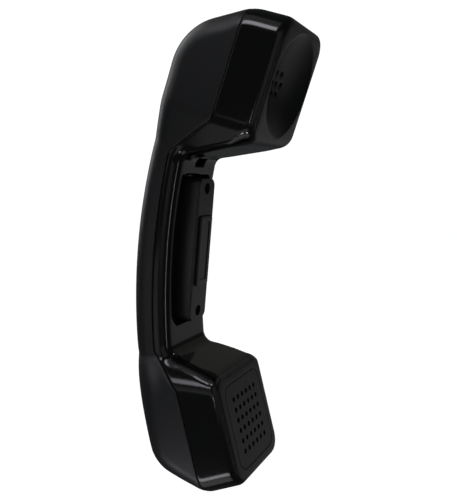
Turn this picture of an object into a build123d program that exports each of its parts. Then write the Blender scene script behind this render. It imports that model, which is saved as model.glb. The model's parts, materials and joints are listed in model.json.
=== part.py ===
from build123d import *
from math import cos, radians, sin, sqrt
import os

# Telephone handset with a push-to-talk bar in its handle.
# Millimetres. The origin is the mouth of the hanging slot, in the handle's inner face just under
# the ear head. +Z runs up the handset to the ear head, +X points to the side with the ear and
# mouth faces, and Y runs across the width, which is symmetric about the XZ plane.

# Overall form
head_half_width = 25.7
handle_half_width = 21.0
wall = 2.2
seam_gap = 0.2
fit = 0.2

# Ear head: its face leans forward and looks down at the mouth
ear_tilt = 18.6
ear_centre = (43.7, 0, 31.6)
ear_half_length = 25.9
ear_flare_top = -21.7
ear_flare_end = -38.0

# Mouth head: its face leans back and looks up
mic_tilt = 14.3
mic_centre = (25.2, 0, -118.0)
mic_half_length = 24.85
mic_flare_bottom = 19.0
mic_flare_end = 31.0

# Side profile: circles with their deepest points on the handle, and the corners of the heads
inner_radius = 300.0
inner_vertex = (-7.3, -66.0)
back_radius = 262.0
back_vertex = (-26.3, -66.0)
seam_radius = 278.0
seam_vertex = (-14.2, -67.0)
ear_neck_z = 2.0
mic_neck_z = -87.6
top_front = (34.0, 62.2)
top_back = (0.9, 57.6)
back_straight_z = 17.9
bottom_front = (13.1, -149.0)
bottom_back_z = -141.0

# Corner radii
back_edge = 9.0
rim_edge = 2.0
grip_edge = 4.5

# Push-to-talk block, standing in a pocket of the handle
ptt_tilt = 5.15
ptt_centre = (1.1, 0, -40.8)
block_width = 17.0
block_length = 67.0
block_depth = 10.8
pocket_width = 28.0
pocket_length = 70.0
screw_spacing = 57.8
bar_width = 11.7
bar_length = 32.5
bar_rise = 1.2
bar_gap = 0.3
bar_travel = 1.5

# Receiver and its dish
dish_radius = 22.75
dish_depth = 7.0
ear_hole_pitch = 5.08
ear_hole_radius = 1.0
capsule_radius = 19.0
retainer_inset = 18.2
receiver_boss_end = -21.0
boss_radius = 3.0
pilot_radius = 1.25

# Microphone grille
grille_width = 39.1
grille_height = 38.1
grille_corner = 5.5
grille_thickness = 1.8
grille_pitch = 4.76
grille_hole_radius = 1.2
mic_boss_inset = 18.3
mic_boss_end = -14.9

# Cord jack, a four-way modular socket
jack_x = 1.5
jack_bottom = -141.7
jack_width = 11.0
jack_depth = 11.5
jack_height = 13.0
socket_width = 7.7
socket_depth = 6.7

# Hanging slot
slot_width = 9.4
slot_height = 3.6

os.makedirs("parts", exist_ok=True)

ear_plane = Plane(
    origin=ear_centre,
    x_dir=(0, 1, 0),
    z_dir=(cos(radians(ear_tilt)), 0, -sin(radians(ear_tilt))),
)
mic_plane = Plane(
    origin=mic_centre,
    x_dir=(0, 1, 0),
    z_dir=(cos(radians(mic_tilt)), 0, sin(radians(mic_tilt))),
)
ptt_plane = Plane(
    origin=ptt_centre,
    x_dir=(0, 1, 0),
    z_dir=(cos(radians(ptt_tilt)), 0, -sin(radians(ptt_tilt))),
)


def on_circle(vertex, radius, z):
    """Point at height z on a circle whose leftmost point is the vertex."""
    return (vertex[0] + radius - sqrt(radius**2 - (z - vertex[1]) ** 2), z)


def in_profile(plane, height):
    """Point of a tilted face, at a height along it, as x and z."""
    point = plane.from_local_coords((0, height, 0))
    return (point.X, point.Z)


ear_top = in_profile(ear_plane, ear_half_length)
ear_bottom = in_profile(ear_plane, -ear_half_length)
mic_top = in_profile(mic_plane, mic_half_length)
mic_bottom = in_profile(mic_plane, -mic_half_length)


def ends_of(builder, plane):
    """Faces of a part in order along a plane's normal, the lowest first."""
    return builder.faces().sort_by(lambda face: plane.to_local_coords(face.center()).Z)


def side_profile(inset):
    """The handset's side view, drawn in by an inset."""
    ear_neck = on_circle(inner_vertex, inner_radius, ear_neck_z)
    mic_neck = on_circle(inner_vertex, inner_radius, mic_neck_z)
    bottom_back = on_circle(back_vertex, back_radius, bottom_back_z)
    back_straight = on_circle(back_vertex, back_radius, back_straight_z)
    corners = (
        (top_back, 25.0),
        (bottom_back, 16.0),
        (ear_neck, 5.0),
        (mic_neck, 6.0),
        (ear_bottom, 3.5),
        (mic_top, 4.5),
        (top_front, 20.0),
        (bottom_front, 10.0),
    )
    with BuildSketch(Plane.XZ) as sketch:
        with BuildLine():
            Polyline(ear_top, ear_bottom, ear_neck)
            ThreePointArc(ear_neck, inner_vertex, mic_neck)
            Polyline(mic_neck, mic_top, mic_bottom, bottom_front, bottom_back)
            ThreePointArc(bottom_back, back_vertex, back_straight)
            Polyline(back_straight, top_back, top_front, ear_top)
        make_face()
        for corner, radius in corners:
            place = Vector(corner[0], corner[1])
            fillet(sketch.vertices().sort_by_distance(place)[0], radius)
        if inset:
            offset(amount=-inset)
    return sketch.sketch


def is_back_edge(edge):
    """True on the outer side of the handset: back, top end and bottom end."""
    middle = edge.center()
    if middle.Z > ear_neck_z + 2:
        local = ear_plane.to_local_coords(middle)
        return local.Z < -25 or local.Y > 20
    if middle.Z < mic_neck_z - 2:
        local = mic_plane.to_local_coords(middle)
        return local.Z < -25 or local.Y < -20
    return middle.X < -12


def full_width_block(inset):
    """The side profile at the heads' width, with its edges rounded."""
    with BuildPart() as block:
        extrude(side_profile(inset), amount=head_half_width - inset, both=True)
        side_edges = block.faces().filter_by(Axis.Y).edges()
        fillet(side_edges.filter_by(is_back_edge), back_edge - inset)
        if not inset:
            cross_edges = block.edges().filter_by(Axis.Y)
            rims = [
                cross_edges.sort_by_distance(Vector(corner[0], 0, corner[1]))[0]
                for corner in (ear_top, mic_bottom)
            ]
            fillet(rims, rim_edge)
    return block.part


def head(inset, plane, crease, flare_end, far_end):
    """One head of the handset, narrowing in flat flares towards the handle."""
    width = head_half_width - inset
    narrowing = head_half_width - handle_half_width
    tip = 8.0
    tip_height = crease + (flare_end - crease) * (width - tip) / narrowing
    with BuildSketch(plane.offset(-110)) as outline:
        Polygon(
            (-width, crease),
            (-width, far_end),
            (width, far_end),
            (width, crease),
            (tip, tip_height),
            (-tip, tip_height),
            align=None,
        )
    with BuildPart() as shape:
        add(full_width_block(inset))
        extrude(outline.sketch, amount=200, mode=Mode.INTERSECT)
    return shape.part


def grip(inset):
    """The handle between the heads, reaching a little way into both."""
    with BuildPart() as shape:
        extrude(side_profile(inset), amount=handle_half_width - inset, both=True)
        side_edges = shape.faces().filter_by(Axis.Y).edges()
        fillet(side_edges.filter_by(is_back_edge), back_edge - inset)
        inner_edges = shape.faces().filter_by(Axis.Y).edges()
        inner_edges = inner_edges.filter_by(
            lambda edge: -12 < edge.center().X < 9 and -89 < edge.center().Z < 4
        )
        fillet(inner_edges, grip_edge - inset)
        split(bisect_by=Plane.XY.offset(20), keep=Keep.BOTTOM)
        split(bisect_by=Plane.XY.offset(-105), keep=Keep.TOP)
    return shape.part


def handset_form(inset):
    """The whole handset as one solid, drawn in by an inset."""
    with BuildPart() as form:
        add(grip(inset))
        add(head(inset, ear_plane, ear_flare_top, ear_flare_end, 60))
        add(head(inset, mic_plane, mic_flare_bottom, mic_flare_end, -60))
    return form.part


def front_of_seam(shift):
    """A block on the face side of the parting line, moved back by a shift."""
    ear_seam = (17.8, 17.1)
    ear_seam_top = (34.7, 65.0)
    mic_seam = (0.2, -101.2)
    mic_seam_bottom = (14.8, -155.0)
    handle_top = on_circle(seam_vertex, seam_radius, 4.6)
    handle_bottom = on_circle(seam_vertex, seam_radius, -86.0)
    with BuildSketch(Plane.XZ) as sketch:
        with BuildLine():
            Polyline(handle_top, ear_seam, ear_seam_top, (80, 65), (80, -155), mic_seam_bottom)
            Polyline(mic_seam_bottom, mic_seam, handle_bottom)
            ThreePointArc(handle_bottom, seam_vertex, handle_top)
        make_face()
    with BuildPart() as block:
        extrude(sketch.sketch, amount=40, both=True)
    return block.part.moved(Location((-shift, 0, 0)))


outer = handset_form(0)
cavity = handset_form(wall)

# Shells

# Rounded dish of the ear face, as a deep sphere and the thicker one behind it
dish_sphere = (dish_radius**2 + dish_depth**2) / (2 * dish_depth)

# Tub around the block's pocket, kept inside the outer form
with BuildPart() as pocket_tub:
    with BuildSketch(ptt_plane.offset(-block_depth - 2)):
        RectangleRounded(pocket_width + 3, pocket_length + 3, 5.5)
    extrude(amount=30)
    add(outer, mode=Mode.INTERSECT)

# Material behind the dish, with a ring that seats the receiver
with BuildPart() as dish_backing:
    with BuildSketch(ear_plane.offset(-11.5)):
        Circle(23.3)
    extrude(amount=10.5)
    with Locations(ear_plane.offset(dish_sphere - dish_depth)):
        Sphere(dish_sphere + wall, mode=Mode.INTERSECT)
    with BuildSketch(ear_plane.offset(-11.5)):
        Circle(capsule_radius + 0.2)
        Circle(capsule_radius - 1.8, mode=Mode.SUBTRACT)
    extrude(amount=9)

# Front shell: both faces, the pocket and the inside of the handle
with BuildPart() as front_shell:
    add(outer)
    add(cavity, mode=Mode.SUBTRACT)
    add(front_of_seam(0), mode=Mode.INTERSECT)
    add(pocket_tub.part)
    add(dish_backing.part)
    # Ledge that carries the grille
    with BuildSketch(mic_plane.offset(-3.8)):
        RectangleRounded(44, 43, 4)
    extrude(amount=2)
    # Bosses for the receiver's and the microphone's retainers
    for plane, inset, end, hole_depth in (
        (ear_plane, retainer_inset, receiver_boss_end, 10),
        (mic_plane, mic_boss_inset, mic_boss_end, 9),
    ):
        with BuildSketch(plane.offset(end)):
            with GridLocations(2 * inset, 2 * inset, 2, 2):
                Circle(boss_radius)
        extrude(amount=-1.5 - end)
        with BuildSketch(plane.offset(end)):
            with GridLocations(2 * inset, 2 * inset, 2, 2):
                Circle(pilot_radius)
        extrude(amount=hole_depth, mode=Mode.SUBTRACT)
    # Ear dish and its seven sound holes
    with Locations(ear_plane.offset(dish_sphere - dish_depth)):
        Sphere(dish_sphere, mode=Mode.SUBTRACT)
    with BuildSketch(ear_plane.offset(-12)):
        Circle(ear_hole_radius)
        with PolarLocations(ear_hole_pitch, 6):
            Circle(ear_hole_radius)
    extrude(amount=12, mode=Mode.SUBTRACT)
    # Recess and opening for the grille
    with BuildSketch(mic_plane.offset(-grille_thickness)):
        RectangleRounded(grille_width, grille_height, grille_corner)
    extrude(amount=5, mode=Mode.SUBTRACT)
    with BuildSketch(mic_plane.offset(-4)):
        RectangleRounded(34.5, 33.5, 4)
    extrude(amount=5, mode=Mode.SUBTRACT)
    # Pocket, its screw holes and the hole for the switch's leads
    with BuildSketch(ptt_plane.offset(-block_depth)):
        RectangleRounded(pocket_width, pocket_length, 4)
    extrude(amount=30, mode=Mode.SUBTRACT)
    with BuildSketch(ptt_plane.offset(-block_depth - 3)):
        with GridLocations(0, screw_spacing, 1, 2):
            Circle(1.7)
        with Locations((0, 21.5)):
            SlotCenterToCenter(3, 3.4)
    extrude(amount=5, mode=Mode.SUBTRACT)
    # Hanging slot
    with BuildSketch(Plane.YZ.offset(-6)):
        RectangleRounded(slot_width, slot_height, 0.6)
    extrude(amount=12, mode=Mode.SUBTRACT)
front_shell.part.label = "front_shell"
export_step(front_shell.part, "parts/front_shell.step")

# Rear shell: the back of both heads and of the handle, with two screw bosses and the jack's hole
with BuildPart() as screw_bosses:
    with BuildSketch(ptt_plane.offset(-28)):
        with GridLocations(0, screw_spacing, 1, 2):
            Circle(4)
    extrude(amount=28 - block_depth - 2.2)
    add(outer, mode=Mode.INTERSECT)

with BuildPart() as rear_shell:
    add(outer)
    add(cavity, mode=Mode.SUBTRACT)
    add(front_of_seam(seam_gap), mode=Mode.SUBTRACT)
    add(screw_bosses.part)
    with BuildSketch(ptt_plane.offset(-22.5)):
        with GridLocations(0, screw_spacing, 1, 2):
            Circle(1.5)
    extrude(amount=12, mode=Mode.SUBTRACT)
    with BuildSketch(Plane.XY.offset(-155)):
        with Locations((jack_x, 0)):
            Rectangle(socket_depth + 2 + 2 * fit, socket_width + 2 + 2 * fit)
    extrude(amount=155 + jack_bottom, mode=Mode.SUBTRACT)
rear_shell.part.label = "rear_shell"
export_step(rear_shell.part, "parts/rear_shell.step")

# Microphone stack

# Grille panel, flush with the mouth face, with six by six sound holes
with BuildPart() as mic_grille:
    with BuildSketch(mic_plane.offset(-grille_thickness)):
        RectangleRounded(grille_width - 2 * fit, grille_height - 2 * fit, grille_corner - fit)
        with GridLocations(grille_pitch, grille_pitch, 6, 6):
            Circle(grille_hole_radius, mode=Mode.SUBTRACT)
    extrude(amount=grille_thickness)
mic_grille.part.label = "mic_grille"
export_step(mic_grille.part, "parts/mic_grille.step")

# Dust screen behind the grille
with BuildPart() as mic_screen:
    with BuildSketch(mic_plane.offset(-grille_thickness - 0.4)):
        RectangleRounded(34, 33, 3.5)
    extrude(amount=0.35)
mic_screen.part.label = "mic_screen"
export_step(mic_screen.part, "parts/mic_screen.step")

# Foam gasket between the ledge and the cup
with BuildPart() as mic_gasket:
    with BuildSketch(mic_plane.offset(-5)):
        Circle(17.5)
        Circle(13, mode=Mode.SUBTRACT)
    extrude(amount=1.15)
mic_gasket.part.label = "mic_gasket"
export_step(mic_gasket.part, "parts/mic_gasket.step")

# Cup that holds the microphone capsule
with BuildPart() as mic_cup:
    with BuildSketch(mic_plane.offset(-14.9)):
        Circle(17.5)
    extrude(amount=9.85)
    with BuildSketch(mic_plane.offset(-13.5)):
        Circle(16)
    extrude(amount=10, mode=Mode.SUBTRACT)
    with BuildSketch(mic_plane.offset(-15)):
        with GridLocations(12, 0, 2, 1):
            Circle(1)
    extrude(amount=3, mode=Mode.SUBTRACT)
mic_cup.part.label = "mic_cup"
export_step(mic_cup.part, "parts/mic_cup.step")

# Microphone capsule with a stepped can and front ports
with BuildPart() as mic_capsule:
    with BuildSketch(mic_plane.offset(-12)):
        Circle(15.5)
    extrude(amount=5)
    with BuildSketch(mic_plane.offset(-7)):
        Circle(13)
    extrude(amount=1)
    with BuildSketch(mic_plane.offset(-7.5)):
        with PolarLocations(7, 6):
            Circle(1)
    extrude(amount=3, mode=Mode.SUBTRACT)
mic_capsule.part.label = "mic_capsule"
export_step(mic_capsule.part, "parts/mic_capsule.step")

# Two leaf contacts on the cup's floor, pressing on the capsule
with BuildPart() as mic_contacts:
    for side in (-1, 1):
        with BuildSketch(mic_plane.offset(-13.45)):
            with Locations((side * 6, 0)):
                Rectangle(4, 14)
        extrude(amount=0.35)
        with BuildSketch(mic_plane.offset(-13.2)):
            with Locations((side * 6, 5)):
                Rectangle(4, 3)
        extrude(amount=1.15)
mic_contacts.part.label = "mic_contacts"
export_step(mic_contacts.part, "parts/mic_contacts.step")


def retainer_plate(plane, back, spacing, opening):
    """Square plate with a round opening and four screw holes in its corners."""
    with BuildPart() as plate:
        with BuildSketch(plane.offset(back)):
            RectangleRounded(2 * spacing + 5.4, 2 * spacing + 5.4, 4.5)
            Circle(opening, mode=Mode.SUBTRACT)
            with GridLocations(2 * spacing, 2 * spacing, 2, 2):
                Circle(1.4, mode=Mode.SUBTRACT)
        extrude(amount=1.4)
    return plate.part


def retainer_screws(plane, seat, spacing, length):
    """Four short screws, with domed heads on the plate and shanks in the bosses."""
    with BuildPart() as screws:
        with BuildSketch(plane.offset(seat)):
            with GridLocations(2 * spacing, 2 * spacing, 2, 2):
                Circle(1.2)
        extrude(amount=length)
        with BuildSketch(plane.offset(seat - 1.3)):
            with GridLocations(2 * spacing, 2 * spacing, 2, 2):
                Circle(2.2)
        extrude(amount=1.3)
        chamfer(ends_of(screws, plane)[:4].edges(), 0.4)
        with BuildSketch(plane.offset(seat - 1.3)):
            with GridLocations(2 * spacing, 2 * spacing, 2, 2):
                Rectangle(2.6, 0.5)
                Rectangle(0.5, 2.6)
        extrude(amount=0.7, mode=Mode.SUBTRACT)
    return screws.part


with BuildPart() as mic_retainer:
    add(retainer_plate(mic_plane, -16.35, mic_boss_inset, 12))
mic_retainer.part.label = "mic_retainer"
export_step(mic_retainer.part, "parts/mic_retainer.step")

with BuildPart() as mic_screws:
    add(retainer_screws(mic_plane, -16.36, mic_boss_inset, 8.5))
mic_screws.part.label = "mic_screws"
export_step(mic_screws.part, "parts/mic_screws.step")

# Receiver stack

# Dust screen behind the ear holes
with BuildPart() as receiver_screen:
    with BuildSketch(ear_plane.offset(-9.8)):
        Circle(9)
    extrude(amount=0.5)
receiver_screen.part.label = "receiver_screen"
export_step(receiver_screen.part, "parts/receiver_screen.step")

# Rubber ring between the seat and the receiver
with BuildPart() as receiver_gasket:
    with BuildSketch(ear_plane.offset(-12.45)):
        Circle(capsule_radius)
        Circle(capsule_radius - 2, mode=Mode.SUBTRACT)
    extrude(amount=0.9)
receiver_gasket.part.label = "receiver_gasket"
export_step(receiver_gasket.part, "parts/receiver_gasket.step")

# Perforated front plate of the receiver
with BuildPart() as receiver_faceplate:
    with BuildSketch(ear_plane.offset(-13.5)):
        Circle(capsule_radius)
        Circle(1, mode=Mode.SUBTRACT)
        with PolarLocations(5, 6):
            Circle(1, mode=Mode.SUBTRACT)
    extrude(amount=1)
receiver_faceplate.part.label = "receiver_faceplate"
export_step(receiver_faceplate.part, "parts/receiver_faceplate.step")

# Cup of the receiver
with BuildPart() as receiver_cup:
    with BuildSketch(ear_plane.offset(-21)):
        Circle(capsule_radius)
    extrude(amount=7.45)
    with BuildSketch(ear_plane.offset(-19.8)):
        Circle(capsule_radius - 1.2)
    extrude(amount=10, mode=Mode.SUBTRACT)
receiver_cup.part.label = "receiver_cup"
export_step(receiver_cup.part, "parts/receiver_cup.step")

# Diaphragm, a thin disc with a raised centre
with BuildPart() as receiver_diaphragm:
    with BuildSketch(ear_plane.offset(-15)):
        Circle(17.6)
    extrude(amount=0.3)
    with BuildSketch(ear_plane.offset(-14.8)):
        Circle(6)
    extrude(amount=0.8)
receiver_diaphragm.part.label = "receiver_diaphragm"
export_step(receiver_diaphragm.part, "parts/receiver_diaphragm.step")

# Magnet with its voice-coil groove
with BuildPart() as receiver_magnet:
    with BuildSketch(ear_plane.offset(-19.75)):
        Circle(9)
    extrude(amount=3.8)
    with BuildSketch(ear_plane.offset(-18)):
        Circle(6.2)
        Circle(5, mode=Mode.SUBTRACT)
    extrude(amount=5, mode=Mode.SUBTRACT)
receiver_magnet.part.label = "receiver_magnet"
export_step(receiver_magnet.part, "parts/receiver_magnet.step")

# Two terminals on the back of the receiver
with BuildPart() as receiver_terminals:
    with BuildSketch(ear_plane.offset(-23)):
        with GridLocations(14, 0, 2, 1):
            Circle(2)
    extrude(amount=1.95)
    with BuildSketch(ear_plane.offset(-23)):
        with GridLocations(14, 0, 2, 1):
            Rectangle(4, 0.6)
    extrude(amount=0.6, mode=Mode.SUBTRACT)
receiver_terminals.part.label = "receiver_terminals"
export_step(receiver_terminals.part, "parts/receiver_terminals.step")

with BuildPart() as receiver_retainer:
    add(retainer_plate(ear_plane, -22.45, retainer_inset, 12))
receiver_retainer.part.label = "receiver_retainer"
export_step(receiver_retainer.part, "parts/receiver_retainer.step")

with BuildPart() as receiver_screws:
    add(retainer_screws(ear_plane, -22.46, retainer_inset, 9))
receiver_screws.part.label = "receiver_screws"
export_step(receiver_screws.part, "parts/receiver_screws.step")

# Push-to-talk switch

# Housing: a block open at its bottom, with a window for the bar and two deep screw holes
chamber_width = block_width - 2.8
chamber_length = 39.0
face_thickness = 1.5
head_seat = 6.5
with BuildPart() as ptt_housing:
    with BuildSketch(ptt_plane.offset(-block_depth)):
        RectangleRounded(block_width, block_length, 3.5)
    extrude(amount=block_depth)
    fillet(ends_of(ptt_housing, ptt_plane)[-1].edges(), 1.0)
    with BuildSketch(ptt_plane.offset(-block_depth)):
        RectangleRounded(chamber_width, chamber_length, 1)
        with Locations((0, 21.5)):
            Rectangle(8, 6)
    extrude(amount=block_depth - face_thickness, mode=Mode.SUBTRACT)
    with BuildSketch(ptt_plane.offset(-2)):
        RectangleRounded(bar_width + 2 * bar_gap, bar_length + 2 * bar_gap, 1.2)
    extrude(amount=5, mode=Mode.SUBTRACT)
    with BuildSketch(ptt_plane.offset(-head_seat)):
        with GridLocations(0, screw_spacing, 1, 2):
            Circle(2.6)
    extrude(amount=8, mode=Mode.SUBTRACT)
    with BuildSketch(ptt_plane.offset(-block_depth - 1)):
        with GridLocations(0, screw_spacing, 1, 2):
            Circle(1.7)
    extrude(amount=8, mode=Mode.SUBTRACT)
ptt_housing.part.label = "ptt_housing"
export_step(ptt_housing.part, "parts/ptt_housing.step")

# Push bar: a rounded bar in the window, with a flange that keeps it behind the housing's face
flange_top = -face_thickness - 0.1
flange_bottom = -3.0
with BuildPart() as ptt_bar:
    with BuildSketch(ptt_plane.offset(flange_top)):
        RectangleRounded(bar_width, bar_length, 1.0)
    extrude(amount=bar_rise - flange_top)
    fillet(ends_of(ptt_bar, ptt_plane)[-1].edges(), 0.6)
    with BuildSketch(ptt_plane.offset(flange_bottom)):
        RectangleRounded(chamber_width - 0.6, bar_length + 4, 1)
    extrude(amount=flange_top - flange_bottom)
    # Finger groove along the bar
    with BuildSketch(ptt_plane.offset(bar_rise - 0.35)):
        RectangleRounded(bar_width - 5.2, bar_length - 5, 1.2)
    extrude(amount=2, mode=Mode.SUBTRACT)
ptt_bar.part.label = "ptt_bar"
export_step(ptt_bar.part, "parts/ptt_bar.step")

# Circuit board on the pocket's floor
board_thickness = 1.0
board_top = -block_depth + board_thickness
with BuildPart() as switch_board:
    with BuildSketch(ptt_plane.offset(-block_depth + 0.02)):
        Rectangle(chamber_width - 0.6, chamber_length - 1)
        with Locations((0, 21)):
            Rectangle(7, 5)
        with GridLocations(5.08, 0, 3, 1):
            Circle(0.55, mode=Mode.SUBTRACT)
    extrude(amount=board_thickness - 0.02)
switch_board.part.label = "switch_board"
export_step(switch_board.part, "parts/switch_board.step")

# Miniature switch with its plunger towards the bar
switch_height = 4.9
plunger_radius = 1.2
with BuildPart() as switch_body:
    with BuildSketch(ptt_plane.offset(board_top)):
        Rectangle(12.8, 6)
    extrude(amount=switch_height)
    chamfer(ends_of(switch_body, ptt_plane)[-1].edges(), 0.4)
    with BuildSketch(ptt_plane.offset(board_top + switch_height - 3.6)):
        Circle(plunger_radius + 0.05)
    extrude(amount=5, mode=Mode.SUBTRACT)
switch_body.part.label = "switch_body"
export_step(switch_body.part, "parts/switch_body.step")

with BuildPart() as switch_plunger:
    with BuildSketch(ptt_plane.offset(board_top + switch_height - 1.9)):
        Circle(plunger_radius)
    extrude(amount=flange_bottom - 0.02 - (board_top + switch_height - 1.9))
    fillet(ends_of(switch_plunger, ptt_plane)[-1].edges(), 0.4)
switch_plunger.part.label = "switch_plunger"
export_step(switch_plunger.part, "parts/switch_plunger.step")

# Three switch pins through the board
with BuildPart() as switch_pins:
    with BuildSketch(ptt_plane.offset(-block_depth + 0.05)):
        with GridLocations(5.08, 0, 3, 1):
            Circle(0.45)
    extrude(amount=board_thickness - 0.07)
switch_pins.part.label = "switch_pins"
export_step(switch_pins.part, "parts/switch_pins.step")

# Two coil springs between the board and the bar's flange
spring_radius = 2.2
spring_wire = 0.25
spring_offset = 13.0
spring_low = board_top + spring_wire + 0.03
spring_length = flange_bottom - 0.03 - spring_wire - spring_low
with BuildPart() as bar_springs:
    for side in (-1, 1):
        foot = ptt_plane.from_local_coords((0, side * spring_offset, spring_low))
        with BuildLine() as coil:
            Helix(
                spring_length / 4.5,
                spring_length,
                spring_radius,
                center=foot,
                direction=ptt_plane.z_dir,
            )
        with BuildSketch(Plane(origin=coil.line @ 0, z_dir=coil.line % 0)) as wire_section:
            Circle(spring_wire)
        sweep(wire_section.sketch, path=coil.line)
bar_springs.part.label = "bar_springs"
export_step(bar_springs.part, "parts/bar_springs.step")

# Two long screws through the block and the pocket's floor into the rear shell's bosses
with BuildPart() as handle_screws:
    with BuildSketch(ptt_plane.offset(-21.5)):
        with GridLocations(0, screw_spacing, 1, 2):
            Circle(1.45)
    extrude(amount=21.5 - head_seat)
    with BuildSketch(ptt_plane.offset(-head_seat)):
        with GridLocations(0, screw_spacing, 1, 2):
            Circle(2.45)
    extrude(amount=1.8)
    chamfer(ends_of(handle_screws, ptt_plane)[-2:].edges(), 0.5)
    with BuildSketch(ptt_plane.offset(-head_seat + 0.9)):
        with GridLocations(0, screw_spacing, 1, 2):
            Rectangle(2.8, 0.55)
            Rectangle(0.55, 2.8)
    extrude(amount=2, mode=Mode.SUBTRACT)
handle_screws.part.label = "handle_screws"
export_step(handle_screws.part, "parts/handle_screws.step")

# Ballast in the handle

with BuildPart() as weight_pad:
    with BuildSketch(ptt_plane.offset(-22.5)):
        Rectangle(12, 40)
    extrude(amount=0.6)
weight_pad.part.label = "weight_pad"
export_step(weight_pad.part, "parts/weight_pad.step")

with BuildPart() as handle_weight:
    with BuildSketch(ptt_plane.offset(-21.88)):
        Rectangle(13, 44)
    extrude(amount=3.6)
    chamfer(handle_weight.edges(), 0.4)
handle_weight.part.label = "handle_weight"
export_step(handle_weight.part, "parts/handle_weight.step")

# Cord jack

# Jack body with a nose through the rear shell, cut flush with its bottom
with BuildPart() as jack_nose:
    with BuildSketch(Plane.XY.offset(-153)):
        with Locations((jack_x, 0)):
            Rectangle(socket_depth + 2, socket_width + 2)
    extrude(amount=153 + jack_bottom)
    add(outer, mode=Mode.INTERSECT)

with BuildPart() as cord_jack:
    with BuildSketch(Plane.XY.offset(jack_bottom)):
        with Locations((jack_x, 0)):
            Rectangle(jack_depth, jack_width)
    extrude(amount=jack_height)
    add(jack_nose.part)
    with BuildSketch(Plane.XY.offset(-155)):
        with Locations((jack_x, 0)):
            Rectangle(socket_depth, socket_width)
        with Locations((jack_x - socket_depth / 2, 0)):
            Rectangle(1.4, 3.2)
    extrude(amount=155 + jack_bottom + jack_height - 2, mode=Mode.SUBTRACT)
cord_jack.part.label = "cord_jack"
export_step(cord_jack.part, "parts/cord_jack.step")

# Four sprung contacts leaning into the socket
contact_pitch = 1.02
contact_radius = 0.2
with BuildPart() as jack_contacts:
    for index in range(4):
        contact_y = (index - 1.5) * contact_pitch
        with BuildLine() as contact_path:
            FilletPolyline(
                (jack_x + 3.0, contact_y, jack_bottom + 10.6),
                (jack_x + 3.0, contact_y, jack_bottom + 6),
                (jack_x + 1.9, contact_y, jack_bottom + 0.5),
                radius=1.5,
            )
        with BuildSketch(Plane(origin=contact_path.line @ 0, z_dir=contact_path.line % 0)) as wire_section:
            Circle(contact_radius)
        sweep(wire_section.sketch, path=contact_path.line)
jack_contacts.part.label = "jack_contacts"
export_step(jack_contacts.part, "parts/jack_contacts.step")

# Leads inside the shells

lead_radius = 0.55


def lead(points, bend):
    """One insulated wire through the given points."""
    with BuildPart() as wire:
        with BuildLine() as route:
            FilletPolyline(*points, radius=bend)
        with BuildSketch(Plane(origin=route.line @ 0, z_dir=route.line % 0)) as section:
            Circle(lead_radius)
        sweep(section.sketch, path=route.line)
    return wire.part


def world(plane, x, y, z):
    """Row coordinates of a point given in a plane's own coordinates."""
    point = plane.from_local_coords((x, y, z))
    return (point.X, point.Y, point.Z)


jack_top = jack_bottom + jack_height + 0.02

with BuildPart() as receiver_leads:
    for side in (-1, 1):
        add(
            lead(
                [
                    world(ear_plane, side * 7, 0, -23.02),
                    world(ear_plane, side * 7, 0, -30),
                    (1, side * 11.5, 22),
                    (-11, side * 12, 0),
                    (-16.8, side * 12, -30),
                    (-18.5, side * 12, -66),
                    (-15.5, side * 12, -98),
                    (jack_x, side * 3.8, jack_top + 7),
                    (jack_x, side * 3.8, jack_top),
                ],
                3,
            )
        )
receiver_leads.part.label = "receiver_leads"
export_step(receiver_leads.part, "parts/receiver_leads.step")

with BuildPart() as mic_leads:
    for side in (-1, 1):
        add(
            lead(
                [
                    world(mic_plane, side * 6, 0, -14.92),
                    world(mic_plane, side * 6, 0, -18.5),
                    (jack_x + 3.4, side * 2.2, jack_top + 3.2),
                    (jack_x + 3.4, side * 2.2, jack_top),
                ],
                1.2,
            )
        )
mic_leads.part.label = "mic_leads"
export_step(mic_leads.part, "parts/mic_leads.step")

with BuildPart() as switch_leads:
    for side in (-1, 1):
        add(
            lead(
                [
                    world(ptt_plane, side * 1.2, 21.5, -block_depth - 0.02),
                    world(ptt_plane, side * 1.2, 21.5, -15.5),
                    (-15.6, side * 9.3, -37),
                    (-17.5, side * 9.3, -66),
                    (-13, side * 8.5, -98),
                    (jack_x - 3.2, side * 1.4, jack_top + 5),
                    (jack_x - 3.2, side * 1.4, jack_top),
                ],
                1.6,
            )
        )
switch_leads.part.label = "switch_leads"
export_step(switch_leads.part, "parts/switch_leads.step")
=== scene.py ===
import json
import math

import bpy
import bmesh
import numpy as np
from mathutils import Matrix, Vector
from mathutils.geometry import delaunay_2d_cdt


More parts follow.
